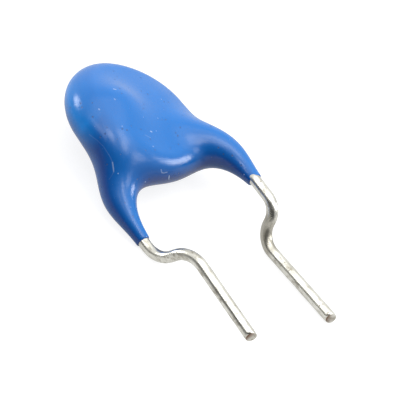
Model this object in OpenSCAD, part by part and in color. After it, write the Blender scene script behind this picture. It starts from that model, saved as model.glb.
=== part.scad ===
// Ceramic disc capacitor with dipped epoxy coat and two kinked leads.
//
// It is drawn standing, as it would be soldered into a board: the disc's centre is the origin,
// X runs across the leads, -Y is the front and the leads hang down along -Z. The back is the front
// after half a turn about Z, but for the leads' kinks: the front lead is the right one.
// The last step lays it on its back, as it comes to rest on a bench: on the disc's back face, the
// end of the back leg and the tip of the front lead. Z = 0 is the bench, the leads point along -Y,
// and the origin is under the middle of its length and width.

/* [Ceramic disc] */
// Diameter of the ceramic disc
ceramic_d = 5.0; // [4:0.1:5.4]
// Thickness of the ceramic disc
ceramic_t = 0.6; // [0.4:0.05:0.8]
// Bare ceramic left between the electrode and the disc's edge
electrode_margin = 0.2; // [0.1:0.05:0.5]
// Thickness of the fired electrode
electrode_t = 0.05; // [0.03:0.01:0.08]

/* [Solder] */
// Diameter of the solder mound on the electrode
solder_d = 2.0; // [1.6:0.1:2.4]
// Solder over the top of the wire
solder_cover = 0.06; // [0.04:0.01:0.1]
// Solder between the wire and the electrode
solder_gap = 0.04; // [0.02:0.01:0.06]
// Distance of the mound from the middle of the disc, out towards its lead
solder_x = 0.5; // [0.2:0.1:0.8]

/* [Leads] */
// Diameter of the tinned wire
wire_d = 0.5; // [0.4:0.05:0.6]
// Distance between the two leads
lead_pitch = 5.0; // [4.6:0.1:5.4]
// Distance of a lead from the mid plane of the disc where it leaves the coat
lead_offset = 1.42; // [1.3:0.02:1.6]
// Length of a lead from the end of the back leg's coat to its tip
lead_len = 6.55; // [5:0.05:12]
// Straight wire from the end of the front leg's coat to the front kink's first corner
front_kink_start = 1.55; // [1.3:0.05:2]
// Straight wire from the end of the back leg's coat to the back kink's first corner
back_kink_start = 1.05; // [1.05:0.05:2]
// Height of the front lead's kink, from its first corner to its second
front_kink_drop = 0.45; // [0.4:0.05:1.2]
// Height of the back lead's kink, from its first corner to its second
back_kink_drop = 1; // [0.7:0.05:1.4]
// Radius of the front kink's bends, at the middle of the wire
front_bend_r = 0.65; // [0.5:0.05:0.7]
// Radius of the back kink's bends, at the middle of the wire
back_bend_r = 0.8; // [0.6:0.05:0.9]
// How far past the mid plane the front lead's kink ends
front_kink_past = 0.04; // [0:0.01:0.2]
// How far past the mid plane the back lead's kink ends
back_kink_past = 0.13; // [0:0.01:0.2]
// How far short of the mid plane the front lead's tip is
front_tip_short = 0.22; // [0:0.01:0.3]
// How far short of the mid plane the back lead's tip is
back_tip_short = 0.03; // [0:0.01:0.3]
// Radius of the two bends inside the coat
bend_r_in = 0.7; // [0.5:0.05:0.8]
// How far the wire runs past the middle of the solder
wire_past = 0.45; // [0.3:0.05:0.6]
// How much the wire's radius swells in a bend
bend_swell = 0.004; // [0.003:0.001:0.01]
// How far above the bottom of the disc the lead has its shoulder
shoulder_rise = 0.8; // [0.7:0.05:0.9]
// Share of the leg's outward bow that the lead's shoulder follows
shoulder_follow = 0.6; // [0.5:0.05:0.7]
// How far above the end of the coat the lead turns to hang straight
exit_rise = 0.15; // [0.1:0.05:0.2]

/* [Coat over the disc] */
// Diameter of the coated disc
coat_d = 6.2; // [5.8:0.1:7]
// Radius of the round rim of the coated disc
rim_r = 0.72; // [0.7:0.01:0.9]
// How far the middle of each face stands above its rim
crown = 0.25; // [0.2:0.05:0.5]

/* [Coat over the leads] */
// Length of the coated back leg below the disc
leg_len = 1.82; // [1.6:0.02:2.4]
// How much sooner the coat ends on the front lead than on the back lead
front_short = 0.2; // [0:0.02:0.3]
// Coat round the wire at the end of a leg
leg_skin = 0.07; // [0.05:0.01:0.12]
// Radius that draws the leg's taper above its end
leg_neck_r = 0.4; // [0.38:0.02:0.5]
// Radius that swells the leg below the disc
leg_root_r = 1.02; // [1.0:0.01:1.2]
// Radius of the leg where it dies into the disc
leg_top_r = 0.59; // [0.5:0.01:0.8]
// Height above the middle of the disc at which the leg dies into it
leg_top = 0.3; // [0:0.03:0.6]
// Outward bow of the leg beyond its lead
leg_bow = 0.35; // [0.3:0.05:0.5]
// How far the leg leans in towards the mid plane above its end
leg_lean = 0.42; // [0.36:0.02:0.46]
// How far in from the edge of the disc the leg is at its root
leg_root_in = 0.65; // [0.6:0.05:0.7]
// How far the leg stands out beyond the wire at its root
leg_root_out = 0.8; // [0.7:0.02:0.9]
// How far in from the edge of the disc the leg dies into it
leg_top_in = 1.76; // [1.5:0.02:1.9]
// How far past the mid plane the leg dies into the disc
leg_top_past = 0.45; // [0.35:0.05:0.55]
// Size of the blend of the legs with the disc and with each other
coat_blend = 2.7; // [2.2:0.1:2.8]

/* [At rest] */
// How far the leads' end is tipped down, so that the front lead's tip meets the bench
rest_pitch = 5.65; // [4:0.05:7]
// How far the disc is rolled about its leads' direction, onto the end of the back leg
rest_roll = 11.9; // [9:0.05:15]

/* [Hidden] */
$fn = 64;

coat_r = coat_d / 2;
wire_r = wire_d / 2;
ceramic_r = ceramic_d / 2;
electrode_r = ceramic_r - electrode_margin;
face_y = ceramic_t / 2 + electrode_t;              // outer face of an electrode
wire_y = face_y + solder_gap + wire_r;             // middle of the wire on that face
solder_h = solder_gap + wire_d + solder_cover;     // height of the mound
solder_z = -solder_x;                              // the mound sits on the way to its lead
leg_end = coat_r + leg_len;                        // depth of the back leg's end
front_end = leg_end - front_short;                 // depth of the front leg's end
lead_x = lead_pitch / 2;

// ---------- small helpers ----------
function unit(v) = v / norm(v);
function clamp01(t) = max(0, min(1, t));
// cubic through the end values c[0] and c[3], drawn towards c[1] and c[2] on the way
function bow(t, c) = let (s = 1 - t)
    c[0] * s * s * s + 3 * c[1] * s * s * t + 3 * c[2] * s * t * t + c[3] * t * t * t;
// union of two distances with a soft fillet of size k
function soft_min(a, b, k) = let (h = max(k - abs(a - b), 0) / k) min(a, b) - h * h * h * k / 6;

// ---------- the lead's way ----------
// Corners of a front lead, from the solder joint to the tip. The back lead is drawn as a front one
// too, with its own kink, and then turned half a turn about Z.
shoulder = [lead_x + shoulder_follow * leg_bow, -wire_y, -coat_r + shoulder_rise];
joint = [solder_x, -wire_y, solder_z];
function lead_corners(kink_z, drop, past, short) = [
    joint - wire_past * unit(shoulder - joint),
    shoulder,
    [lead_x, -lead_offset, -leg_end + exit_rise],
    [lead_x, -lead_offset, kink_z],
    [lead_x, past, kink_z - drop],
    [lead_x, -short, -leg_end - lead_len]
];
front_corners = lead_corners(-front_end - front_kink_start, front_kink_drop, front_kink_past,
                             front_tip_short);
back_corners = lead_corners(-leg_end - back_kink_start, back_kink_drop, back_kink_past, back_tip_short);
lap = 0.03;                                        // each straight runs this far into its bends

// ---------- the coat as a distance field ----------
// A leg has round level sections. Their middle and radius follow cubics from its end to its top.
leg_x = [lead_x, lead_x + leg_bow, coat_r - leg_root_in, coat_r - leg_top_in];
leg_y = [-lead_offset, -lead_offset + leg_lean, -wire_y - leg_root_out, leg_top_past];
leg_r = [wire_r + leg_skin, leg_neck_r, leg_root_r, leg_top_r];
leg_h = leg_end + leg_top;
function leg_part(z) = clamp01((z + leg_end) / leg_h);
// the curves slow down to a stop at the leg's top, so that no crease shows on the disc
function leg_t(z) = let (s = leg_part(z)) s + s * s - s * s * s;
function leg_field(x, y, z) = let (t = leg_t(z))
    norm([x - bow(t, leg_x), y - bow(t, leg_y), z + leg_end - leg_part(z) * leg_h]) - bow(t, leg_r);
// The disc is everything within rim_r of a thin lens, whose two faces are parts of a ball.
flat_r = coat_r - rim_r;
ball_r = (flat_r * flat_r + crown * crown) / (2 * crown);
function disc_field(x, y, z) = let (q = norm([x, z]), h = abs(y) + ball_r - crown)
    (q * (ball_r - crown) < flat_r * h ? norm([q, h]) - ball_r : norm([q - flat_r, y])) - rim_r;
function coat_field(p) =
    soft_min(soft_min(leg_field(p.x, p.y, p.z), disc_field(p.x, p.y, p.z), coat_blend),
             leg_field(-p.x, -p.y, p.z), coat_blend);
// distance from c along d to the skin between lo and hi, by halving that stretch n times
function reach(c, d, lo, hi, n) = n == 0 ? (lo + hi) / 2 :
    let (m = (lo + hi) / 2) coat_field(c + m * d) < 0 ? reach(c, d, m, hi, n - 1)
                                                      : reach(c, d, lo, m, n - 1);

// ---------- the coat's skin ----------
// The skin is one loft that goes up one leg, over the disc and down the other. Its sections fan
// about a level axis in the crotch, then run level down the leg. A section is [origin, direction,
// distance of its middle, y of its middle, stretch].
fan_n = 30;                                        // sections that fan from the top to the leg
leg_n = 13;                                        // level sections down the rest of the leg
ring_n = 44;                                       // points round a section
halvings = 14;                                     // steps that find the skin
top_stretch = 2.4;                                 // how far the points of the top section spread
axis_gap = 0.02;                                   // a section stops this far short of the fan's axis
pivot_z = -coat_r - 0.53 * leg_len;                // height of the fan's axis, halfway down the crotch
function fan_section(i) = let (u = i / fan_n, a = 90 * u, t = leg_t(pivot_z))
    [[0, 0, pivot_z], [sin(a), 0, cos(a)], -pivot_z * (1 - u) + bow(t, leg_x) * u,
     bow(t, leg_y) * u * u, top_stretch + (1 - top_stretch) * u];
function level_section(i, end) = let (u = i / leg_n, z = pivot_z + (-end - pivot_z) * u, t = leg_t(z))
    [[0, 0, z], [1, 0, 0], bow(t, leg_x), bow(t, leg_y), 1];
function ring(s) = let (c = s[0] + s[1] * s[2] + [0, s[3], 0])
    [for (j = [0 : ring_n - 1]) let (
        a = 360 * j / ring_n,
        d = unit(s[4] * cos(a) * s[1] + sin(a) * [0, 1, 0]),
        inward = max(0, -(d * s[1])),
        far = min(coat_d, (s[2] - axis_gap) / max(inward, axis_gap))
    ) c + d * reach(c, d, 0, far, halvings)];
function half(end) = [for (i = [0 : fan_n]) ring(fan_section(i)),
                      for (i = [1 : leg_n]) ring(level_section(i, end))];
front_half = half(front_end);
back_half = half(leg_end);
half_n = len(front_half);
// half a turn about Z, which also runs a ring backwards
function turned_point(p) = [-p.x, -p.y, p.z];
function turned(r) = [for (j = [0 : ring_n - 1]) turned_point(r[(ring_n - j) % ring_n])];
rings = [for (i = [half_n - 1 : -1 : 1]) turned(back_half[i]), each front_half];
rings_n = len(rings);

// ---------- where it rests ----------
// turned from standing onto its back, before it is moved
function laid(p) = let (
        a = rest_pitch - 90,
        q = [p.x * cos(rest_roll) - p.y * sin(rest_roll), p.x * sin(rest_roll) + p.y * cos(rest_roll)])
    [q.x, q.y * cos(a) - p.z * sin(a), q.y * sin(a) + p.z * cos(a)];
laid_skin = [for (r = rings) for (p = r) laid(p)];
laid_x = [for (p = laid_skin) p.x];
// the lowest values that the edge of a cut end reaches: its middle, less the wire's slanted radius
function end_low(from, tip) = let (d = unit(tip - from))
    [for (i = [0 : 2]) tip[i] - wire_r * sqrt(1 - d[i] * d[i])];
ends_low = [end_low(laid(front_corners[4]), laid(front_corners[5])),
            end_low(laid(turned_point(back_corners[4])), laid(turned_point(back_corners[5])))];
low_y = min([for (e = ends_low) e.y]);
low_z = min(min([for (p = laid_skin) p.z]), min([for (e = ends_low) e.z]));
// the bench is at Z = 0 and the middle of the part's length and width is over the origin
rest_shift = [-(min(laid_x) + max(laid_x)) / 2, -(low_y + max([for (p = laid_skin) p.y])) / 2, -low_z];
module at_rest() {
    translate(rest_shift) rotate([rest_pitch - 90, 0, 0]) rotate([0, 0, rest_roll]) children();
}
module other_side() { rotate([0, 0, 180]) children(); }

// ---------- wire with round bends ----------
module rod(a, b, r) {
    v = b - a;
    translate(a) rotate([0, acos(v.z / norm(v)), atan2(v.y, v.x)]) cylinder(r = r, h = norm(v));
}
module wire(p, bends, r) {
    n = len(p);
    dir = [for (i = [0 : n - 2]) unit(p[i + 1] - p[i])];
    turn = [for (i = [0 : n - 1]) i == 0 || i == n - 1 ? 0 : acos(dir[i - 1] * dir[i])];
    trim = [for (i = [0 : n - 1]) bends[i] * tan(turn[i] / 2)];
    for (i = [0 : n - 2]) rod(
        p[i] + (i == 0 ? 0 : trim[i] - lap) * dir[i],
        p[i + 1] - (i == n - 2 ? 0 : trim[i + 1] - lap) * dir[i], r);
    for (i = [1 : n - 2]) {
        axis = unit(cross(dir[i - 1], dir[i]));
        start = p[i] - trim[i] * dir[i - 1];
        inward = cross(axis, dir[i - 1]);
        middle = start + bends[i] * inward;
        multmatrix([
            [-inward.x, dir[i - 1].x, axis.x, middle.x],
            [-inward.y, dir[i - 1].y, axis.y, middle.y],
            [-inward.z, dir[i - 1].z, axis.z, middle.z],
            [0, 0, 0, 1]
        ]) rotate_extrude(angle = turn[i]) translate([bends[i], 0]) circle(r = r + bend_swell);
    }
}

// ---------- pieces, standing ----------
module ceramic_blank() {
    rotate([90, 0, 0]) cylinder(d = ceramic_d, h = ceramic_t, center = true);
}
module electrode_blank() {
    translate([0, -ceramic_t / 2, 0]) rotate([90, 0, 0]) cylinder(r = electrode_r, h = electrode_t);
}
module lead_blank(back) {
    r = back ? back_bend_r : front_bend_r;
    wire(back ? back_corners : front_corners, [0, bend_r_in, bend_r_in, r, r, 0], wire_r);
}
// a mound of solder is a cap of a ball, as wide and as high as it should be
module mound_blank() {
    mound_r = (solder_d * solder_d / 4 + solder_h * solder_h) / (2 * solder_h);
    translate([solder_x, -face_y, solder_z]) rotate([90, 0, 0])
        rotate_extrude() intersection() {
            translate([0, solder_h - mound_r]) circle(r = mound_r, $fn = 128);
            square([mound_r, mound_r]);
        }
}
module coat_skin() {
    last = rings_n * ring_n;
    polyhedron(
        points = [for (r = rings) each r, [-lead_x, lead_offset, -leg_end],
                  [lead_x, -lead_offset, -front_end]],
        faces = [
            for (i = [0 : rings_n - 2]) for (j = [0 : ring_n - 1]) let (
                k = (j + 1) % ring_n, a = i * ring_n + j, b = i * ring_n + k,
                c = a + ring_n, d = b + ring_n)
                each [[a, d, c], [a, b, d]],
            for (j = [0 : ring_n - 1]) [last, (j + 1) % ring_n, j],
            for (j = [0 : ring_n - 1]) let (o = (rings_n - 1) * ring_n)
                [last + 1, o + j, o + (j + 1) % ring_n]
        ]);
}

// ---------- nodes, at rest ----------
module ceramic_disc() { color("tan") at_rest() ceramic_blank(); }
module front_electrode() { color("silver") at_rest() electrode_blank(); }
module back_electrode() { color("silver") at_rest() other_side() electrode_blank(); }
module solder(back) { difference() { mound_blank(); lead_blank(back); } }
module front_solder() { color("gainsboro") at_rest() solder(false); }
module back_solder() { color("gainsboro") at_rest() other_side() solder(true); }
module front_lead() { color("lightgray") at_rest() lead_blank(false); }
module back_lead() { color("lightgray") at_rest() other_side() lead_blank(true); }
module one_side(back) {
    electrode_blank();
    mound_blank();
    lead_blank(back);
}
module inside() {
    ceramic_blank();
    one_side(false);
    other_side() one_side(true);
}
module coating() {
    color("royalblue") at_rest() difference() {
        coat_skin();
        inside();
    }
}

ceramic_disc();
front_electrode();
back_electrode();
front_solder();
back_solder();
front_lead();
back_lead();
coating();
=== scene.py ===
import math

import bmesh
import bpy
from bpy.props import FloatProperty, FloatVectorProperty, IntProperty, PointerProperty
from mathutils import Matrix, Vector


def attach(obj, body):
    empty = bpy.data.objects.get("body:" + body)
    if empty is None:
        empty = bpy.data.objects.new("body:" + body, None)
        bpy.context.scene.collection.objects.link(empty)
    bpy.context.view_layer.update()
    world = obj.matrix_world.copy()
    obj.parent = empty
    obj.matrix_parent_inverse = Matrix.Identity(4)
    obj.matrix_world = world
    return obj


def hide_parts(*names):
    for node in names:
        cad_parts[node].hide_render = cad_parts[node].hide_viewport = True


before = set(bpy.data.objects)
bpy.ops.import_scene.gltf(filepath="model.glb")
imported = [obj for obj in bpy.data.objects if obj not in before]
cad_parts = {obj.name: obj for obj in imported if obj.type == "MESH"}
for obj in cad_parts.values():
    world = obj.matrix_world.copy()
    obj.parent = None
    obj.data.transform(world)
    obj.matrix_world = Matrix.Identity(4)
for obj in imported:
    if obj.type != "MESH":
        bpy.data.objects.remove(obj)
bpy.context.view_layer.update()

bl_info = {
    "name": "Ceramic Disc Capacitor",
    "version": (1, 0, 0),
    "blender": (4, 5, 0),
    "location": "3D View > Sidebar > Capacitor",
    "description": "Coat, leads, inner finishes and studio stage for a ceramic disc capacitor",
    "category": "Object",
}

MM = 0.001


# ---------- kinds of property ----------
def length(name, description, mm):
    """A size, given here in millimetres."""
    return FloatProperty(name=name, description=description, default=mm * MM, unit="LENGTH",
                         precision=6)


def lengths(name, description, *mm):
    """A few sizes that belong together, given here in millimetres."""
    return FloatVectorProperty(name=name, description=description, size=len(mm), unit="LENGTH",
                               default=tuple(size * MM for size in mm))


def spot(name, description, *mm):
    """A place, given here in millimetres."""
    return FloatVectorProperty(name=name, description=description, size=3, subtype="TRANSLATION",
                               default=tuple(size * MM for size in mm))


def direction(name, description, *way):
    """A direction, of any length."""
    return FloatVectorProperty(name=name, description=description, size=3, subtype="DIRECTION",
                               default=way)


def angle(name, description, degrees):
    """An angle, given here in degrees."""
    return FloatProperty(name=name, description=description, default=math.radians(degrees),
                         subtype="ANGLE")


def light(name, description, default, **limits):
    """A strength of light, where 1 is white."""
    return FloatProperty(name=name, description=description, default=default, min=0.0, **limits)


def colour(name, description, rgb):
    """A colour, linear."""
    return FloatVectorProperty(name=name, description=description, default=rgb, subtype="COLOR",
                               size=3, min=0.0, max=1.0)


# ---------- sizes and finishes that a user would change ----------
class CapacitorCoatSizes(bpy.types.PropertyGroup):
    """Sizes of the dipped coat, drawn standing with the leads along -Z and the front along -Y."""
    disc_radius: length("Disc radius", "Radius of the coated disc", 3.1)
    rim_radius: length("Rim radius", "Radius of the round rim of the disc", 0.82)
    crown: length("Crown", "How far the middle of each face stands above its rim", 0.14)
    back_end: length("Back leg end", "Depth of the back leg's end below the disc's middle", 5.03)
    front_end: length("Front leg end", "Depth of the front leg's end below the disc's middle", 4.77)
    leg_top: length("Leg top", "Height above the disc's middle at which a leg dies into it", 0.3)
    leg_x: lengths("Leg across", "Distance of the leg from the middle, from its end to its top",
                   2.5, 2.92, 2.42, 1.37)
    leg_y: lengths("Leg forward", "Depth of the leg from the mid plane, from its end to its top",
                   -1.42, -1.0, -1.52, 0.45)
    leg_radius: lengths("Leg radius", "Radii that draw the leg, from its end to its top",
                        0.3, 0.4, 1.09, 0.62)
    blend: length("Blend", "Size of the blend of the legs with the disc", 2.58)
    lip: length("Lip", "Roundness of the coat's thin end on the wire", 0.09)
    lip_wander: length("Lip wander", "How unevenly the coat ends along the wire", 0.07)
    skin_wander: length("Skin wander", "How far the dipped surface wanders in and out", 0.018)
    cell: length("Cell", "Size of the grid that the skin is taken from", 0.05)
    seed: IntProperty(name="Seed", description="Turns the unevenness into another one", default=4)


class CapacitorLeadSizes(bpy.types.PropertyGroup):
    """Sizes of the tinned wires. The back one is drawn as a front one, then turned half a turn."""
    wire_radius: length("Wire radius", "Radius of the tinned wire", 0.25)
    pitch: length("Lead pitch", "Distance between the two leads", 5.0)
    offset: length("Lead offset", "Depth of a lead from the mid plane where it leaves the coat",
                   1.42)
    joint: spot("Inner end", "Where the front wire ends on its electrode", 0.2287, -0.64, -0.2787)
    shoulder: spot("Shoulder", "Corner of the front wire inside the coat", 2.71, -0.64, -2.3)
    exit_height: length("Exit height", "Height of the corner where the wire leaves the coat", -4.77)
    inner_bend: length("Inner bends", "Radius of the two bends inside the coat", 0.7)
    front_kink: lengths(
        "Front kink", "Height of the front kink's upper and lower corner, how far past the mid "
        "plane the lower one is, and the radius of the upper and of the lower bend",
        -6.375, -6.63, 0.134, 0.82, 0.92)
    back_kink: lengths(
        "Back kink", "Height of the back kink's upper and lower corner, how far past the mid "
        "plane the lower one is, and the radius of the upper and of the lower bend",
        -6.10, -6.88, 0.185, 1.28, 1.38)
    front_tip: lengths(
        "Front tip", "Height of the front wire's cut end, and how far short of the mid plane it is",
        -11.36, 0.222)
    back_tip: lengths(
        "Back tip", "Height of the back wire's cut end, and how far short of the mid plane it is",
        -11.41, 0.042)
    slant: FloatProperty(name="Slant", description="How much the cut slopes across the wire",
                         default=-0.34, min=-1.0, max=1.0)
    pinch: FloatProperty(name="Pinch", description="How much the cutter pinches the cut end",
                         default=0.24, min=0.0, max=0.6, subtype="FACTOR")
    pinch_length: length("Pinch length", "Length of the pinched end", 0.16)


class CapacitorRest(bpy.types.PropertyGroup):
    """How the standing part is laid on the bench."""
    roll: angle("Roll", "Turn about the leads' direction", 11.9)
    pitch: angle("Pitch", "Turn from standing onto the back", 5.65 - 90)
    place: spot("Place", "Move that sets the laid part on the bench", 0, 4.20518, 1.67776)


class CapacitorFinishes(bpy.types.PropertyGroup):
    """Colours of the finishes."""
    epoxy: colour("Epoxy", "Blue of the dipped coat on its faces", (0.003, 0.163, 0.55))
    # painted shade: a darker copy of the coat's blue, put on the legs and on the sides of the coat
    epoxy_painted_shade: colour("Painted shade epoxy", "Blue where the coat is thick, on the legs",
                       (0.001, 0.058, 0.29))
    # painted light: a lighter copy of the coat's blue, put round the upper rim of the disc
    epoxy_painted_light: colour("Painted light epoxy", "Blue where the coat is thinnest, round the rim of the disc",
                       (0.008, 0.245, 0.76))
    speck: colour("Speck", "Dust that was caught in the coat", (0.55, 0.68, 0.85))
    # painted shade: the dark blue that fills the pinholes stands for the shade inside them
    pinhole: colour("Pinhole", "Bottom of a pinhole in the coat", (0.01, 0.04, 0.15))
    tin: colour("Tin", "Bright tin on the wire", (0.86, 0.85, 0.78))
    tin_dull: colour("Dull tin", "Tin that was rubbed or has dulled", (0.66, 0.645, 0.57))
    soil: colour("Soiled tin", "Soil that sits in the marks on the wire", (0.24, 0.21, 0.15))
    copper: colour("Core", "Copper that shows at a cut end", (0.17, 0.085, 0.05))
    ceramic: colour("Ceramic", "Fired ceramic body", (0.62, 0.47, 0.30))
    silver: colour("Fired silver", "Silver of the electrodes", (0.72, 0.71, 0.68))
    solder: colour("Solder", "Solder mounds", (0.60, 0.61, 0.63))


class CapacitorStage(bpy.types.PropertyGroup):
    """Floor, world and camera."""
    floor: colour("Floor", "Plain pale floor", (0.3, 0.3, 0.3))
    mirror_floor: colour("Mirrored floor", "The floor as metal and glass mirror it",
                         (0.25, 0.25, 0.25))
    glow: light("Floor glow", "White that only the camera sees on the floor", 0.82, max=1.0)
    mirror_glow: light("Mirrored glow", "White of the floor that metal and glass mirror", 0.5,
                       max=1.0)
    backdrop: light("Backdrop", "Light of the white backdrop behind the object", 0.85)
    backdrop_way: direction("Backdrop's way", "Where the middle of the backdrop is", 0.3, 0.7, 0.65)
    ceiling: light("Ceiling", "Light of the white ceiling", 0.76)
    wall: light("Side wall", "Light of the pale wall beside the object", 0.43)
    wall_way: direction("Side wall's way", "Where the middle of the side wall is", 0.5, -0.75, 0.45)
    world: light("Fill", "Even light from all round", 0.08)
    camera_at: spot("Camera", "Where the camera stands", -116.68255, -80.41166, 113.15220)
    camera_aim: spot("Aim", "What the camera looks at", 1.31565, 0.43458, 0.35158)
    camera_roll: angle("Camera roll", "Turn about the line of sight", 25.1033)
    lens: FloatProperty(name="Lens", description="Focal length on a 36 mm sensor", default=398.41,
                        unit="CAMERA")


SETTINGS = {
    "capacitor_coat": CapacitorCoatSizes,
    "capacitor_leads": CapacitorLeadSizes,
    "capacitor_rest": CapacitorRest,
    "capacitor_finishes": CapacitorFinishes,
    "capacitor_stage": CapacitorStage,
}


# ---------- marks of handling ----------
# each mark has its strength, its radius and the line that it follows, in millimetres, where the
# part lies
PALE_MARKS = (
    (0.06, 0.009, ((-3.08, 3.71, 2.39), (-3.02, 3.26, 2.45), (-2.97, 2.90, 2.43),
                   (-2.95, 2.61, 2.35), (-2.93, 2.39, 2.27), (-2.92, 2.20, 2.16))),
    (0.32, 0.014, ((-2.92, 2.20, 2.16), (-2.95, 2.01, 2.00), (-2.96, 1.92, 1.90))),
    (0.15, 0.011, ((-2.96, 1.92, 1.90), (-3.04, 1.87, 1.75), (-3.13, 1.85, 1.60))),
    (0.75, 0.014, ((-0.42, 1.13, 1.62), (-0.36, 1.13, 1.42))),
    (0.35, 0.008, ((-0.91, 1.29, 1.99), (-0.86, 1.23, 1.86), (-0.74, 1.20, 1.82),
                   (-0.58, 1.19, 1.83))),
    (0.14, 0.008, ((-1.12, 2.58, 2.82), (-0.87, 2.45, 2.70))),
    (0.50, 0.020, ((-1.25, 4.87, 3.35), (-1.18, 4.81, 3.35))),
    (0.35, 0.020, ((-1.62, 4.36, 3.36), (-1.62, 4.32, 3.36))),
    (0.35, 0.020, ((-2.45, 4.26, 3.13), (-2.45, 4.22, 3.13))),
    (0.55, 0.020, ((-0.66, 2.74, 2.73), (-0.60, 2.72, 2.72))),
    (0.30, 0.016, ((-1.00, 2.08, 2.60), (-0.98, 2.06, 2.60))),
    (0.50, 0.018, ((-1.63, 1.28, 1.56), (-1.61, 1.26, 1.54))))
PITS = (
    (0.9, 0.022, ((1.05, 2.68, 2.52), (1.03, 2.66, 2.52))),
    (0.8, 0.020, ((0.70, 2.53, 2.46), (0.68, 2.51, 2.46))),
    (0.9, 0.022, ((0.72, 2.39, 2.43), (0.68, 2.35, 2.41))),
    (0.8, 0.020, ((-1.21, 2.83, 2.95), (-1.19, 2.81, 2.94))),
    (0.6, 0.018, ((-1.67, 3.02, 3.09), (-1.65, 3.00, 3.09))),
    (0.6, 0.018, ((-2.63, 3.39, 2.95), (-2.61, 3.37, 2.95))),
    (0.5, 0.018, ((0.48, 3.27, 2.61), (0.46, 3.25, 2.61))),
    (0.6, 0.018, ((-0.02, 1.93, 2.34), (-0.04, 1.91, 2.34))),
    (0.6, 0.018, ((-1.52, 1.97, 2.63), (-1.50, 1.95, 2.63))))
STAINS = (
    (0.55, 0.45, ((2.55, -1.95, 1.10), (2.50, -2.30, 0.80), (2.43, -2.75, 0.45))),)
MARK_EDGE = 0.025    # softness of a mark's edge, in millimetres
STAIN_EDGE = 0.3


# ---------- a short way to lay nodes ----------
NODE_STEP = 180      # distance between the nodes of a tree, as it is drawn in the editor
NODE_ROWS = 6
NOISE_LOW, NOISE_MIDDLE, NOISE_HIGH = 0.3, 0.5, 0.7    # nearly all of a noise lies in between
DOT_EDGE = 1.7       # where a dot has faded out, in its radii


class Tree:
    """Lays nodes in a node tree and joins their sockets."""

    def __init__(self, tree):
        self.nodes, self.links, self.count = tree.nodes, tree.links, 0

    def put(self, value, socket):
        """Joins an output to a socket, or gives the socket a plain value."""
        if isinstance(value, bpy.types.NodeSocket):
            self.links.new(value, socket)
        else:
            socket.default_value = value

    def add(self, kind, inputs=None, **settings):
        """A new node with its settings and inputs."""
        node = self.nodes.new(kind)
        column, row = divmod(self.count, NODE_ROWS)
        node.location = (NODE_STEP * column, -NODE_STEP * row)
        self.count += 1
        for name, value in settings.items():
            setattr(node, name, value)
        for key, value in (inputs or {}).items():
            self.put(value, node.inputs[key])
        return node

    def make(self, kind, inputs=None, **settings):
        """The first output of a new node."""
        return self.add(kind, inputs, **settings).outputs[0]

    def math(self, operation, *values):
        """What a maths node makes of its values."""
        return self.make("ShaderNodeMath", dict(enumerate(values)), operation=operation)

    def vector(self, operation, *values):
        """What a vector maths node makes of its values: a vector, or a number for some."""
        node = self.add("ShaderNodeVectorMath", operation=operation)
        for socket, value in zip(node.inputs, values):
            if operation == "SCALE" and value is values[-1]:
                socket = node.inputs["Scale"]
            self.put(value, socket)
        return node.outputs["Value" if operation in {"LENGTH", "DOT_PRODUCT"} else "Vector"]

    def join(self, x, y, z):
        """A vector from three numbers."""
        return self.make("ShaderNodeCombineXYZ", {0: x, 1: y, 2: z})

    def split(self, vector):
        """The three numbers of a vector."""
        return self.add("ShaderNodeSeparateXYZ", {0: vector}).outputs

    def noise(self, vector, scale, detail, roughness):
        """A smooth noise. Its scale says how many waves lie in a unit of length."""
        return self.make("ShaderNodeTexNoise", {
            "Vector": vector, "Scale": scale, "Detail": detail, "Roughness": roughness})

    def spread(self, value, low, high, to_low=0.0, to_high=1.0):
        """Maps low..high to to_low..to_high, and holds the ends."""
        return self.make("ShaderNodeMapRange", {0: value, 1: low, 2: high, 3: to_low, 4: to_high})

    def wander(self, noise, low, high):
        """A noise spread over low to high."""
        return self.spread(noise, NOISE_LOW, NOISE_HIGH, low, high)

    def choose(self, side, first, second):
        """The first number where side is 0, and the second where it is 1."""
        return self.make("ShaderNodeMix", {0: side, 2: first, 3: second}, data_type="FLOAT")

    def dots(self, vector, scale, radius):
        """Scattered dots: 1 inside a dot."""
        away = self.add("ShaderNodeTexVoronoi", {"Vector": vector, "Scale": scale})
        radius = radius * scale
        return self.spread(away.outputs["Distance"], radius, radius * DOT_EDGE, 1.0, 0.0)

    def marks(self, point, lines, edge):
        """Marks along lines, each with its own strength and radius, and 0 elsewhere."""
        whole = None
        for strength, radius, points in lines:
            mark = self.math("MULTIPLY", self.near_line(point, points, radius, edge), strength)
            whole = mark if whole is None else self.math("MAXIMUM", whole, mark)
        return whole

    def near_line(self, point, points, radius, edge):
        """1 within radius of a line through points, and 0 beyond radius plus edge."""
        away = None
        for start, end in zip(points, points[1:]):
            start, way = Vector(start), Vector(end) - Vector(start)
            reach = self.vector("SUBTRACT", point, tuple(start))
            part = self.vector("DOT_PRODUCT", reach, tuple(way / way.length_squared))
            part = self.make("ShaderNodeClamp", {0: part})
            distance = self.vector("LENGTH", self.vector(
                "SUBTRACT", reach, self.vector("SCALE", tuple(way), part)))
            away = distance if away is None else self.math("MINIMUM", away, distance)
        return self.spread(away, radius, radius + edge, 1.0, 0.0)

    def blend(self, factor, first, second):
        """Mixes two colours."""
        node = self.add("ShaderNodeMix", {0: factor}, data_type="RGBA")
        for key, value in ((6, first), (7, second)):
            if not isinstance(value, bpy.types.NodeSocket):
                value = (*value, 1.0)
            self.put(value, node.inputs[key])
        return node.outputs[2]

    def bump(self, shader, height, strength, depth):
        """Raises a shader's surface by height, with depth in millimetres."""
        relief = self.make("ShaderNodeBump", {
            "Strength": strength, "Distance": depth * MM, "Height": height})
        self.put(relief, shader.inputs["Normal"])


# ---------- forms ----------
def add_sockets(group, side, kind, names):
    """Gives a node group sockets of one kind."""
    for name in names:
        group.interface.new_socket(name, in_out=side, socket_type="NodeSocket" + kind)


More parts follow.
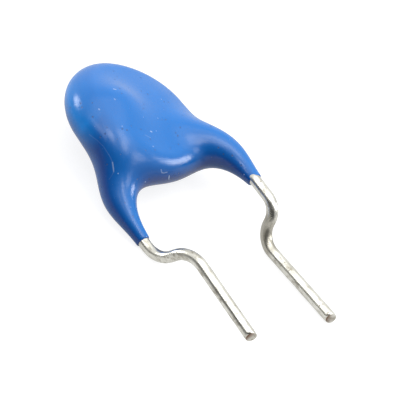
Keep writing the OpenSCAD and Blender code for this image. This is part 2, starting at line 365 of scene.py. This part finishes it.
def new_form(name, sizes, vectors=(), whole=()):
    """A Geometry Nodes tree with a geometry socket in and out and named inputs for its sizes."""
    group = bpy.data.node_groups.new(name, "GeometryNodeTree")
    add_sockets(group, "INPUT", "Geometry", ["Geometry"])
    add_sockets(group, "OUTPUT", "Geometry", ["Geometry"])
    add_sockets(group, "INPUT", "Float", sizes)
    add_sockets(group, "INPUT", "Vector", vectors)
    add_sockets(group, "INPUT", "Int", whole)
    add_sockets(group, "INPUT", "Material", ["Finish"])
    tree = Tree(group)
    return group, tree, tree.add("NodeGroupInput").outputs, tree.add("NodeGroupOutput").inputs


def keep_number(tree, geometry, name, value):
    """Stores a number at every point, for the finish to read."""
    return tree.make("GeometryNodeStoreNamedAttribute", {
        "Geometry": geometry, "Name": name, "Value": value}, data_type="FLOAT", domain="POINT")


def lay_down(tree, geometry, given):
    """Turns the standing form onto its back, sets it on the bench and gives it its finish."""
    rolled = tree.make("GeometryNodeTransform", {
        "Geometry": geometry, "Rotation": tree.join(0.0, 0.0, given["Roll"])})
    laid = tree.make("GeometryNodeTransform", {
        "Geometry": rolled, "Rotation": tree.join(given["Pitch"], 0.0, 0.0),
        "Translation": given["Place"]})
    real = tree.make("GeometryNodeRealizeInstances", {0: laid})
    return tree.make("GeometryNodeSetMaterial", {"Geometry": real, "Material": given["Finish"]})


def grow(name, group, values, start=None):
    """Evaluates a form on a carrier and keeps the result as a plain mesh object."""
    carrier = bpy.data.objects.new(name + "_carrier", start or bpy.data.meshes.new(name + "_start"))
    bpy.context.scene.collection.objects.link(carrier)
    modifier = carrier.modifiers.new("form", "NODES")
    modifier.node_group = group
    for item in group.interface.items_tree:
        if item.in_out == "INPUT" and item.name in values:
            modifier[item.identifier] = values[item.name]
    depsgraph = bpy.context.evaluated_depsgraph_get()
    mesh = bpy.data.meshes.new_from_object(carrier.evaluated_get(depsgraph))
    bpy.data.objects.remove(carrier)
    if not mesh.polygons:
        raise RuntimeError(f"the form of {name} came out empty")
    mesh.name = name
    piece = bpy.data.objects.new(name, mesh)
    bpy.context.scene.collection.objects.link(piece)
    return piece


def rest_values(scene):
    """The inputs of a form that lay it on the bench."""
    rest = scene.capacitor_rest
    return {"Roll": rest.roll, "Pitch": rest.pitch, "Place": tuple(rest.place)}


# ---------- finishes ----------
# the coat: over which values of the number "thin", which carries painted shade and painted light,
# the darker painted-shade blue turns into the faces' blue and that into the lighter painted-light
# blue of the upper rim, and how far clouds of colour shift the number
SHADE_TO_FACE = (0.05, 0.95)
FACE_TO_LIT_RIM = (1.0, 1.35)
CLOUD_SHIFT = 0.07
# dots: how many lie in a millimetre, and their radius in millimetres
DUST, DUST_STRENGTH, DUST_MOVE = (1.9, 0.022), 0.35, (7.3, 1.1, 4.9)
PINHOLES, PINHOLE_SHADE = (2.5, 0.028), 0.7
GRIME, GRIME_STRENGTH = (3.4, 0.03), 0.7
# roughness: the least and the most, and what finer grain, marks, patches and soil add
COAT_ROUGHNESS, COAT_GRAIN_ROUGHNESS, COAT_MARK_ROUGHNESS = (0.18, 0.25), (-0.02, 0.04), 0.25
TIN_ROUGHNESS, TIN_PATCH_ROUGHNESS, TIN_SOIL_ROUGHNESS = (0.16, 0.27), (0.0, 0.08), 0.15
EPOXY_IOR = 1.55
GRAIN_HEIGHT = 0.3   # height of the coat's grain, as a part of its orange peel's
# the wire: its marks are drawn out along it, and the noises from which dull tin and soil begin
DRAWN_OUT, SOIL_DRAWN_OUT = (1.0, 0.07, 1.0), (1.0, 0.35, 1.0)
DULL_RANGE, PATCH_RANGE, SOIL_RANGE, SOIL_STRENGTH = (0.42, 0.7), (0.4, 0.7), (0.5, 0.68), 0.75
# the pieces inside: their darkest shade, how coarse its patches are, and where they lie in a noise
INNER_DARK, INNER_PATCHES, INNER_RANGE = 0.78, 0.2, (0.35, 0.65)


def new_finish(name):
    """A material with one Principled shader, and its tree."""
    material = bpy.data.materials.new(name)
    material.use_nodes = True
    tree = Tree(material.node_tree)
    shader = material.node_tree.nodes["Principled BSDF"]
    return material, tree, shader


def object_place(tree, scale=(1.0, 1.0, 1.0)):
    """Object coordinates in millimetres, stretched by scale."""
    place = tree.add("ShaderNodeTexCoord").outputs["Object"]
    node = tree.add("ShaderNodeMapping", {"Vector": place})
    node.inputs["Scale"].default_value = [s / MM for s in scale]
    return node.outputs[0]


def finish_epoxy(colours):
    """Semi-gloss dipped epoxy: painted shade and light by the way the skin faces, orange peel and
    caught dust.
    """
    material, tree, shader = new_finish("blue_epoxy")
    at = object_place(tree)
    clouds = tree.noise(at, scale=0.45, detail=3.0, roughness=0.55)
    peel = tree.noise(at, scale=5.5, detail=4.0, roughness=0.6)
    grain = tree.noise(at, scale=17.0, detail=2.0, roughness=0.6)
    thin = tree.add("ShaderNodeAttribute", attribute_name="thin").outputs["Fac"]
    thin = tree.math("ADD", thin, tree.wander(clouds, -CLOUD_SHIFT, CLOUD_SHIFT))
    # painted shade and painted light: the darker blue on the legs and sides and the lighter blue
    # round the upper rim stand for shade and light
    shade = tree.blend(tree.spread(thin, *SHADE_TO_FACE), colours.epoxy_painted_shade, colours.epoxy)
    shade = tree.blend(tree.spread(thin, *FACE_TO_LIT_RIM), shade, colours.epoxy_painted_light)

    # scattered dust and pinholes with painted shade in them, then the marks of handling
    dust = tree.dots(tree.vector("ADD", at, DUST_MOVE), *DUST)
    holes = tree.math("MAXIMUM", tree.dots(at, *PINHOLES), tree.marks(at, PITS, MARK_EDGE))
    pale = tree.math("MAXIMUM", tree.math("MULTIPLY", dust, DUST_STRENGTH),
                     tree.marks(at, PALE_MARKS, MARK_EDGE))
    # painted shade: the pinholes and pits are darkened towards a dark blue, as shade inside them
    shade = tree.blend(tree.math("MULTIPLY", holes, PINHOLE_SHADE), shade, colours.pinhole)
    tree.put(tree.blend(pale, shade, colours.speck), shader.inputs["Base Color"])

    rough = tree.math("ADD", tree.wander(peel, *COAT_ROUGHNESS),
                      tree.wander(grain, *COAT_GRAIN_ROUGHNESS))
    marked = tree.math("MULTIPLY", tree.math("MAXIMUM", holes, pale), COAT_MARK_ROUGHNESS)
    tree.put(tree.math("ADD", rough, marked), shader.inputs["Roughness"])
    tree.put(EPOXY_IOR, shader.inputs["IOR"])
    height = tree.math("ADD", peel, tree.math("MULTIPLY", grain, GRAIN_HEIGHT))
    height = tree.math("SUBTRACT", tree.math("ADD", height, pale), holes)
    tree.bump(shader, height, strength=0.2, depth=0.02)
    return material


def finish_tin(colours):
    """Bright tinned wire: drawn along its length, dulled and soiled, with the core at its cut."""
    material, tree, shader = new_finish("tinned_wire")
    at = object_place(tree)
    drawn = tree.noise(object_place(tree, DRAWN_OUT), scale=9.0, detail=4.0, roughness=0.6)
    patch = tree.noise(at, scale=1.6, detail=3.0, roughness=0.6)
    shade = tree.blend(tree.spread(patch, *DULL_RANGE), colours.tin, colours.tin_dull)
    cut = tree.add("ShaderNodeAttribute", attribute_name="cut").outputs["Fac"]
    shade = tree.blend(cut, shade, colours.copper)
    tree.put(1.0, shader.inputs["Metallic"])

    soil = tree.noise(object_place(tree, SOIL_DRAWN_OUT), scale=5.0, detail=4.0, roughness=0.7)
    soil = tree.math("MULTIPLY", tree.spread(soil, *SOIL_RANGE), SOIL_STRENGTH)
    grime = tree.math("MULTIPLY", tree.dots(at, *GRIME), GRIME_STRENGTH)
    soil = tree.math("MAXIMUM", soil, grime)
    soil = tree.math("MAXIMUM", soil, tree.marks(at, STAINS, STAIN_EDGE))
    tree.put(tree.blend(soil, shade, colours.soil), shader.inputs["Base Color"])

    rough = tree.math("ADD", tree.wander(drawn, *TIN_ROUGHNESS),
                      tree.spread(patch, *PATCH_RANGE, *TIN_PATCH_ROUGHNESS))
    rough = tree.math("ADD", rough, tree.math("MULTIPLY", soil, TIN_SOIL_ROUGHNESS))
    tree.put(rough, shader.inputs["Roughness"])
    tree.bump(shader, drawn, strength=0.12, depth=0.01)
    return material


def finish_inner(name, rgb, metallic, roughness, grain, depth):
    """A fired or melted surface with grain of a given size, for the pieces inside the coat."""
    material, tree, shader = new_finish(name)
    at = object_place(tree)
    coarse = tree.noise(at, scale=grain * INNER_PATCHES, detail=3.0, roughness=0.5)
    fine = tree.noise(at, scale=grain, detail=5.0, roughness=0.65)
    darker = tuple(part * INNER_DARK for part in rgb)
    shade = tree.blend(tree.spread(coarse, *INNER_RANGE), darker, rgb)
    tree.put(shade, shader.inputs["Base Color"])
    tree.put(metallic, shader.inputs["Metallic"])
    tree.put(tree.wander(fine, *roughness), shader.inputs["Roughness"])
    tree.bump(shader, fine, strength=0.4, depth=depth)
    return material


# ---------- the coat ----------
COAT_SIZES = ["Disc radius", "Rim radius", "Crown", "Leg top", "Back end", "Front end", "Blend"]
COAT_VECTORS = ["Leg end", "Leg neck", "Leg root", "Leg crest"]
GRID_ROOM = 0.3 * MM      # room between the coat and the sides of its grid
GRID_DEPTH = 0.8          # half the grid's depth, in radii of the disc
SKIN_CELLS = 1.5          # how far the grid's fill fades on each side of the skin, in cells
DRAWS = 3                 # how often the mesh is drawn onto the true skin
SEED_MOVE = 3.7           # how far one seed is from the next in the noises
LIP_DRAWN_OUT = 0.2       # the lip's unevenness runs along the wire
RIM_LIGHT_HEIGHTS = (-1.2 * MM, 0.0)    # heights over which painted light comes in on the disc's upper rim
RIM_LIGHT_FACING = 0.9          # the painted light on the rim ends where the skin faces forward this much
RIM_LIGHT_LEVELS = (1.35, 0.8)    # the number "thin" on the rim where it faces sideways, and where its painted light ends


def coat_distance():
    """Distance of a point from the coat: a round-rimmed lens blended with two bowed legs."""
    group = bpy.data.node_groups.new("coat_distance", "GeometryNodeTree")
    add_sockets(group, "OUTPUT", "Float", ["Distance"])
    add_sockets(group, "INPUT", "Vector", ["Point"])
    add_sockets(group, "INPUT", "Float", COAT_SIZES)
    add_sockets(group, "INPUT", "Vector", COAT_VECTORS)
    t = Tree(group)
    given = t.add("NodeGroupInput").outputs
    x, y, z = t.split(given["Point"])
    end = given["Back end"]

    # how far up its leg a point is, and the cubic's weights there
    tall = t.math("ADD", end, given["Leg top"])
    up = t.math("ADD", z, end)
    part = t.make("ShaderNodeClamp", {0: t.math("DIVIDE", up, tall)})
    part2 = t.math("MULTIPLY", part, part)
    ease = t.math("SUBTRACT", t.math("ADD", part, part2), t.math("MULTIPLY", part2, part))
    rest = t.math("SUBTRACT", 1.0, ease)
    ease2, rest2 = t.math("MULTIPLY", ease, ease), t.math("MULTIPLY", rest, rest)
    weights = [
        t.math("MULTIPLY", rest2, rest),
        t.math("MULTIPLY", t.math("MULTIPLY", rest2, ease), 3.0),
        t.math("MULTIPLY", t.math("MULTIPLY", ease2, rest), 3.0),
        t.math("MULTIPLY", ease2, ease)]
    line = None
    for weight, vector in zip(weights, COAT_VECTORS):
        pull = t.vector("SCALE", given[vector], weight)
        line = pull if line is None else t.vector("ADD", line, pull)
    line_x, line_y, line_r = t.split(line)
    past = t.math("SUBTRACT", up, t.math("MULTIPLY", part, tall))

    def leg(px, py):
        """Distance from the leg whose line runs through line_x and line_y."""
        way = t.join(t.math("SUBTRACT", px, line_x), t.math("SUBTRACT", py, line_y), past)
        return t.math("SUBTRACT", t.vector("LENGTH", way), line_r)

    # the disc: everything within the rim's radius of a thin lens
    flat = t.math("SUBTRACT", given["Disc radius"], given["Rim radius"])
    crown = given["Crown"]
    squares = t.math("ADD", t.math("MULTIPLY", flat, flat), t.math("MULTIPLY", crown, crown))
    ball = t.math("DIVIDE", squares, t.math("MULTIPLY", crown, 2.0))
    deep = t.math("SUBTRACT", ball, crown)
    out = t.vector("LENGTH", t.join(x, 0.0, z))
    high = t.math("ADD", t.math("ABSOLUTE", y), deep)
    cap = t.math("SUBTRACT", t.vector("LENGTH", t.join(out, high, 0.0)), ball)
    rim = t.vector("LENGTH", t.join(t.math("SUBTRACT", out, flat), y, 0.0))
    on_cap = t.math("LESS_THAN", t.math("MULTIPLY", out, deep), t.math("MULTIPLY", flat, high))
    disc = t.math("SUBTRACT", t.choose(on_cap, rim, cap), given["Rim radius"])

    front = t.math("SMOOTH_MIN", leg(x, y), disc, given["Blend"])
    back = leg(t.math("MULTIPLY", x, -1.0), t.math("MULTIPLY", y, -1.0))
    whole = t.math("SMOOTH_MIN", front, back, given["Blend"])
    t.add("NodeGroupOutput", {"Distance": whole})
    return group


def coat_form():
    """The dipped coat: the skin of coat_distance, uneven, with a thin lip on each wire."""
    group, t, given, out = new_form(
        "coat_form", COAT_SIZES + ["Lip", "Lip wander", "Skin wander", "Cell", "Roll", "Pitch"],
        COAT_VECTORS + ["Place"], ["Seed"])
    distance = coat_distance()

    def skin(point):
        """Distance of a point from the uneven coat with its cut-off lips."""
        node = t.add("GeometryNodeGroup", {"Point": point}, node_tree=distance)
        for name in COAT_SIZES + COAT_VECTORS:
            t.put(given[name], node.inputs[name])
        seed = t.math("MULTIPLY", given["Seed"], SEED_MOVE)
        moved = t.vector("ADD", t.vector("SCALE", point, 1 / MM), t.join(seed, 0.0, seed))
        uneven = t.noise(moved, scale=0.62, detail=1.5, roughness=0.4)
        uneven = t.math("MULTIPLY", t.math("SUBTRACT", uneven, NOISE_MIDDLE), given["Skin wander"])
        body = t.math("ADD", node.outputs[0], uneven)
        # each leg ends at its own depth, unevenly round the wire
        x, y, z = t.split(point)
        depth = t.choose(t.math("GREATER_THAN", x, 0.0), given["Back end"], given["Front end"])
        drawn = t.vector("MULTIPLY", point, (1 / MM, 1 / MM, LIP_DRAWN_OUT / MM))
        moved = t.vector("ADD", drawn, t.join(0.0, seed, 0.0))
        wander = t.noise(moved, scale=2.6, detail=2.0, roughness=0.5)
        wander = t.math("MULTIPLY", t.math("SUBTRACT", wander, NOISE_MIDDLE), given["Lip wander"])
        depth = t.math("ADD", depth, wander)
        below = t.math("SUBTRACT", t.math("MULTIPLY", z, -1.0), depth)
        return t.math("SMOOTH_MAX", body, below, given["Lip"])

    at = t.make("GeometryNodeInputPosition")
    cell = given["Cell"]
    half_x = t.math("ADD", given["Disc radius"], GRID_ROOM)
    half_y = t.math("MULTIPLY", given["Disc radius"], GRID_DEPTH)
    low_z = t.math("SUBTRACT", -GRID_ROOM, given["Back end"])

    def cells(size):
        """How many cells fill a size."""
        return t.make("FunctionNodeFloatToInt", {0: t.math("DIVIDE", size, cell)})

    fill = t.spread(t.math("DIVIDE", skin(at), cell), -SKIN_CELLS, SKIN_CELLS, 1.0, 0.0)
    cloud = t.make("GeometryNodeVolumeCube", {
        "Density": fill, "Background": 0.0,
        "Min": t.join(t.math("MULTIPLY", half_x, -1.0), t.math("MULTIPLY", half_y, -1.0), low_z),
        "Max": t.join(half_x, half_y, half_x),
        "Resolution X": cells(t.math("MULTIPLY", half_x, 2.0)),
        "Resolution Y": cells(t.math("MULTIPLY", half_y, 2.0)),
        "Resolution Z": cells(t.math("SUBTRACT", half_x, low_z))})
    shape = t.make("GeometryNodeVolumeToMesh", {"Volume": cloud, "Threshold": 0.5})
    # the grid's mesh is drawn onto the true skin, along its own normals
    normal = t.make("GeometryNodeInputNormal")
    for _ in range(DRAWS):
        draw = t.vector("SCALE", normal, t.math("MULTIPLY", skin(at), -1.0))
        shape = t.make("GeometryNodeSetPosition", {"Geometry": shape, "Offset": draw})
    # painted shade and light, kept as the number "thin": the faces' blue where the skin faces
    # forward or back, a lighter blue on the disc's upper rim and a darker blue on the legs and
    # sides
    facing = t.math("ABSOLUTE", t.split(normal)[1])
    rim = t.math("MULTIPLY", t.spread(t.split(at)[2], *RIM_LIGHT_HEIGHTS),
                 t.spread(facing, 0.0, RIM_LIGHT_FACING, *RIM_LIGHT_LEVELS))
    shape = keep_number(t, shape, "thin", t.math("MAXIMUM", facing, rim))
    shape = t.make("GeometryNodeSetShadeSmooth", {0: shape})
    t.put(lay_down(t, shape, given), out[0])
    return group


class CAPACITOR_OT_coat(bpy.types.Operator):
    """Dip the disc: builds the blue coat that stands for the coating's solid"""
    bl_idname = "capacitor.coat"
    bl_label = "Dip the coat"

    def execute(self, context):
        scene = context.scene
        size = scene.capacitor_coat
        values = {
            "Disc radius": size.disc_radius, "Rim radius": size.rim_radius, "Crown": size.crown,
            "Leg top": size.leg_top, "Back end": size.back_end, "Front end": size.front_end,
            "Blend": size.blend, "Lip": size.lip, "Lip wander": size.lip_wander,
            "Skin wander": size.skin_wander, "Cell": size.cell, "Seed": size.seed,
            **dict(zip(COAT_VECTORS, zip(size.leg_x, size.leg_y, size.leg_radius))),
            **rest_values(scene), "Finish": finish_epoxy(scene.capacitor_finishes)}
        coat = grow("epoxy_coat", coat_form(), values)
        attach(coat, "root")
        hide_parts("coating")
        return {"FINISHED"}


# ---------- the leads ----------
BEND_STEPS = 40              # parts of a bend
WIRE_SIDES = 40              # sides of the wire's round section
WIRE_STEP = 0.04 * MM        # distance between the rings of the wire
SAME_POINT = 0.0005 * MM     # points nearer than this are made one
CUT_DEPTH = 0.012 * MM       # how far up from the tip a point counts as the cut face
PINCH_CURVE = 1.6            # how late the pinch sets in towards the tip
# the core shows at the short side of the cut: where it begins and ends, in radii of the wire, and
# how much of it shows past that
CORE_RANGE = (-0.75, 0.0)
CORE_SHOWS = (1.0, 0.12)


def wire_form():
    """A wire that follows its corners with round bends, and ends in a pinched, slanted cut."""
    group, t, given, out = new_form(
        "wire_form", ["Wire radius", "Lead across", "Tip", "Slant", "Pinch", "Pinch length",
                      "Half turn", "Roll", "Pitch"], ["Place"])
    bend = t.make("GeometryNodeInputNamedAttribute", {"Name": "bend"}, data_type="FLOAT")
    path = t.make("GeometryNodeMeshToCurve", {"Mesh": given["Geometry"]})
    path = t.make("GeometryNodeFilletCurve", {"Curve": path, "Count": BEND_STEPS, "Radius": bend},
                  mode="POLY")
    path = t.make("GeometryNodeResampleCurve", {"Curve": path, "Length": WIRE_STEP}, mode="LENGTH")
    ring = t.make("GeometryNodeCurvePrimitiveCircle", {
        "Resolution": WIRE_SIDES, "Radius": given["Wire radius"]}, mode="RADIUS")
    wire = t.make("GeometryNodeCurveToMesh", {
        "Curve": path, "Profile Curve": ring, "Fill Caps": True})
    wire = t.make("GeometryNodeMergeByDistance", {"Geometry": wire, "Distance": SAME_POINT})
    # the cutter pinches the end from two sides and leaves a blunt wedge
    x, y, z = t.split(t.make("GeometryNodeInputPosition"))
    above_tip = t.math("SUBTRACT", z, given["Tip"])
    near = t.spread(t.math("DIVIDE", above_tip, given["Pinch length"]), 0.0, 1.0, 1.0, 0.0)
    squeeze = t.math("MULTIPLY", t.math("POWER", near, PINCH_CURVE), given["Pinch"])
    off = t.math("SUBTRACT", x, given["Lead across"])
    dx = t.math("MULTIPLY", off, t.math("MULTIPLY", squeeze, -1.0))
    # the cut is slanted, the same way on both wires once they are in place
    right = t.math("MULTIPLY", off, t.math("COSINE", given["Half turn"]))
    dz = t.math("MULTIPLY", t.math("MULTIPLY", right, given["Slant"]), near)
    core = t.spread(t.math("DIVIDE", right, given["Wire radius"]), *CORE_RANGE, *CORE_SHOWS)
    on_cut = t.math("LESS_THAN", z, t.math("ADD", given["Tip"], CUT_DEPTH))
    wire = keep_number(t, wire, "cut", t.math("MULTIPLY", core, on_cut))
    wire = t.make("GeometryNodeSetPosition", {"Geometry": wire, "Offset": t.join(dx, 0.0, dz)})
    wire = t.make("GeometryNodeSetShadeSmooth", {0: wire})
    wire = t.make("GeometryNodeTransform", {
        "Geometry": wire, "Rotation": t.join(0.0, 0.0, given["Half turn"])})
    t.put(lay_down(t, wire, given), out[0])
    return group


def wire_route(size, kink, tip):
    """A wire's corners and the radius of the bend at each, as a line mesh."""
    across = size.pitch / 2
    upper, lower, past, upper_bend, lower_bend = kink
    tip_height, tip_short = tip
    corners = [
        tuple(size.joint), tuple(size.shoulder),
        (across, -size.offset, size.exit_height), (across, -size.offset, upper),
        (across, past, lower), (across, -tip_short, tip_height)]
    mesh = bpy.data.meshes.new("wire_route")
    mesh.from_pydata(corners, [(i, i + 1) for i in range(len(corners) - 1)], [])
    bends = mesh.attributes.new("bend", "FLOAT", "POINT")
    bends.data.foreach_set("value", [
        0.0, size.inner_bend, size.inner_bend, upper_bend, lower_bend, 0.0])
    return mesh


class CAPACITOR_OT_leads(bpy.types.Operator):
    """Draw and kink the two tinned wires, which stand for the leads' solids"""
    bl_idname = "capacitor.leads"
    bl_label = "Bend the leads"

    def execute(self, context):
        scene = context.scene
        size = scene.capacitor_leads
        form = wire_form()
        shared = {
            "Wire radius": size.wire_radius, "Lead across": size.pitch / 2, "Slant": size.slant,
            "Pinch": size.pinch, "Pinch length": size.pinch_length,
            **rest_values(scene), "Finish": finish_tin(scene.capacitor_finishes)}
        for name, node, turn, kink, tip in (
                ("front_wire", "front_lead", 0.0, size.front_kink, size.front_tip),
                ("back_wire", "back_lead", math.pi, size.back_kink, size.back_tip)):
            values = {**shared, "Tip": tip[0], "Half turn": turn}
            wire = grow(name, form, values, wire_route(size, kink, tip))
            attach(wire, "root")
            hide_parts(node)
        return {"FINISHED"}


# ---------- the pieces inside the coat ----------
class CAPACITOR_OT_inside(bpy.types.Operator):
    """Give the ceramic, the electrodes and the solder their finishes"""
    bl_idname = "capacitor.inside"
    bl_label = "Finish the inside"

    def execute(self, context):
        colours = context.scene.capacitor_finishes
        ceramic = finish_inner("fired_ceramic", colours.ceramic, metallic=0.0,
                               roughness=(0.55, 0.8), grain=14.0, depth=0.01)
        silver = finish_inner("fired_silver", colours.silver, metallic=1.0,
                              roughness=(0.38, 0.6), grain=22.0, depth=0.004)
        solder = finish_inner("melted_solder", colours.solder, metallic=1.0,
                              roughness=(0.18, 0.36), grain=4.0, depth=0.008)
        for node, finish in (
                ("ceramic_disc", ceramic),
                ("front_electrode", silver), ("back_electrode", silver),
                ("front_solder", solder), ("back_solder", solder)):
            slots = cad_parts[node].material_slots
            if not slots:
                raise RuntimeError(f"{node} has no material slot")
            for place in slots:
                place.material = finish
        return {"FINISHED"}


# ---------- stage ----------
WHITE = (1.0, 1.0, 1.0, 1.0)
FLOOR_SIZE = 2.0             # half the floor's side, in metres
FLOOR_ROUGHNESS = 0.9
FLOOR_SHINE = 0.1
GLOW_SHADOW_RANGE = (-9.0, -4.0)    # from where on, across, the mirrored floor glows, in millimetres; short of it the floor that metal and glass mirror stays dark, a painted shadow of the object
# the cosines of the angles over which each smooth light of the world fades in
BACKDROP_RANGE, CEILING_RANGE, WALL_RANGE = (0.05, 0.7), (0.70, 0.88), (0.72, 0.95)
LAMP_DISTANCE = 0.4          # from the origin, in metres
# soft boxes: name, degrees round from +X, degrees above the floor, half the angle that the box
# fills, and brightness, where 1 is white
LAMPS = (
    ("near_box", -57, 78, 13, 2.2),
    ("side_box", -30, 20, 10.5, 7.4),
    ("rim_box", 115, 9, 11, 6.5),
    ("left_box", 160, 40, 10, 1.8),
    ("high_left_box", 176, 60, 10, 3.0),
    ("high_front_box", -100, 64, 9, 3.0),
    ("right_box", -66, 42, 11, 2.4))
SENSOR = 36.0                     # width of the camera's sensor, in millimetres
NEAREST, FARTHEST = 0.01, 10.0    # what the camera sees, in metres


def add_floor(stage):
    """A plain pale floor that keeps the object's shadow."""
    mesh = bpy.data.meshes.new("floor")
    plane = bmesh.new()
    bmesh.ops.create_grid(plane, x_segments=1, y_segments=1, size=FLOOR_SIZE)
    plane.to_mesh(mesh)
    plane.free()
    floor = bpy.data.objects.new("floor", mesh)
    bpy.context.scene.collection.objects.link(floor)
    material, tree, shader = new_finish("floor")
    tree.put(FLOOR_ROUGHNESS, shader.inputs["Roughness"])
    tree.put(FLOOR_SHINE, shader.inputs["Specular IOR Level"])
    tree.put(WHITE, shader.inputs["Emission Color"])
    path = tree.add("ShaderNodeLightPath").outputs
    mirrored = tree.math("MAXIMUM", path["Is Glossy Ray"], path["Is Transmission Ray"])
    shade = tree.blend(mirrored, stage.floor, stage.mirror_floor)
    tree.put(shade, shader.inputs["Base Color"])
    across = tree.split(object_place(tree))[0]
    # painted shadow: the glow that metal and glass mirror fades out towards -X, standing in for the
    # object's shadow on that side
    mirrored = tree.math("MULTIPLY", mirrored, tree.spread(across, *GLOW_SHADOW_RANGE))
    glow = tree.math("MAXIMUM", tree.math("MULTIPLY", path["Is Camera Ray"], stage.glow),
                     tree.math("MULTIPLY", mirrored, stage.mirror_glow))
    tree.put(glow, shader.inputs["Emission Strength"])
    mesh.materials.append(material)


def add_world(stage):
    """A soft backdrop, ceiling and side wall and an even fill, white where the camera sees it."""
    world = bpy.data.worlds.new("studio")
    bpy.context.scene.world = world
    world.use_nodes = True
    tree = Tree(world.node_tree)
    background = world.node_tree.nodes["Background"]
    tree.put(WHITE, background.inputs["Color"])
    way = tree.add("ShaderNodeTexCoord").outputs["Generated"]
    whole = stage.world
    for middle, (low, high), strength in (
            (stage.backdrop_way, BACKDROP_RANGE, stage.backdrop),
            ((0.0, 0.0, 1.0), CEILING_RANGE, stage.ceiling),
            (stage.wall_way, WALL_RANGE, stage.wall)):
        facing = tree.vector("DOT_PRODUCT", way, Vector(middle).normalized())
        sweep = tree.make("ShaderNodeMapRange", {
            0: facing, 1: low, 2: high, 3: 0.0, 4: strength}, interpolation_type="SMOOTHSTEP")
        whole = tree.math("ADD", whole, sweep)
    seen = tree.add("ShaderNodeLightPath").outputs["Is Camera Ray"]
    tree.put(tree.math("MAXIMUM", seen, whole), background.inputs["Strength"])


def add_lamp(name, around, above, spread, brightness):
    """A round soft box that faces the object, as LAMPS describes it."""
    radius = LAMP_DISTANCE * math.tan(math.radians(spread))
    lamp = bpy.data.lights.new(name, "AREA")
    lamp.shape, lamp.size = "DISK", 2 * radius
    lamp.energy = brightness * math.pi * math.pi * radius * radius
    box = bpy.data.objects.new(name, lamp)
    bpy.context.scene.collection.objects.link(box)
    around, above = math.radians(around), math.radians(above)
    towards = Vector((math.cos(around) * math.cos(above), math.sin(around) * math.cos(above),
                      math.sin(above)))
    facing = (-towards).to_track_quat("-Z", "Y").to_matrix().to_4x4()
    box.matrix_world = Matrix.Translation(towards * LAMP_DISTANCE) @ facing


def add_camera(stage):
    """The camera, rolled about its line of sight."""
    data = bpy.data.cameras.new("camera")
    data.lens, data.sensor_width = stage.lens, SENSOR
    data.clip_start, data.clip_end = NEAREST, FARTHEST
    camera = bpy.data.objects.new("camera", data)
    bpy.context.scene.collection.objects.link(camera)
    at, aim = Vector(stage.camera_at), Vector(stage.camera_aim)
    level = (aim - at).to_track_quat("-Z", "Y").to_matrix()
    rolled = level @ Matrix.Rotation(stage.camera_roll, 3, "Z")
    camera.matrix_world = Matrix.Translation(at) @ rolled.to_4x4()
    bpy.context.scene.camera = camera


class CAPACITOR_OT_stage(bpy.types.Operator):
    """Set up the floor, the soft lamps and the camera"""
    bl_idname = "capacitor.stage"
    bl_label = "Set the stage"

    def execute(self, context):
        scene = context.scene
        stage = scene.capacitor_stage
        scene.view_settings.view_transform = "Standard"
        add_camera(stage)
        add_floor(stage)
        add_world(stage)
        for lamp in LAMPS:
            add_lamp(*lamp)
        return {"FINISHED"}


# ---------- panel ----------
OPERATORS = (CAPACITOR_OT_stage, CAPACITOR_OT_coat, CAPACITOR_OT_leads, CAPACITOR_OT_inside)


class CAPACITOR_PT_panel(bpy.types.Panel):
    """Sizes, finishes and steps of the capacitor"""
    bl_idname = "CAPACITOR_PT_panel"
    bl_label = "Ceramic disc capacitor"
    bl_space_type = "VIEW_3D"
    bl_region_type = "UI"
    bl_category = "Capacitor"

    def draw(self, context):
        for attribute, kind in SETTINGS.items():
            box = self.layout.box()
            box.label(text=attribute.replace("_", " ").capitalize())
            for name in kind.__annotations__:
                box.prop(getattr(context.scene, attribute), name)
        for operator in OPERATORS:
            self.layout.operator(operator.bl_idname)


CLASSES = (*SETTINGS.values(), *OPERATORS, CAPACITOR_PT_panel)


def register():
    for kind in CLASSES:
        bpy.utils.register_class(kind)
    for attribute, kind in SETTINGS.items():
        setattr(bpy.types.Scene, attribute, PointerProperty(type=kind))


def unregister():
    for attribute in SETTINGS:
        delattr(bpy.types.Scene, attribute)
    for kind in reversed(CLASSES):
        bpy.utils.unregister_class(kind)


def main():
    register()
    bpy.ops.capacitor.stage()
    bpy.ops.capacitor.coat()
    bpy.ops.capacitor.leads()
    bpy.ops.capacitor.inside()


if __name__ == "__main__":
    main()
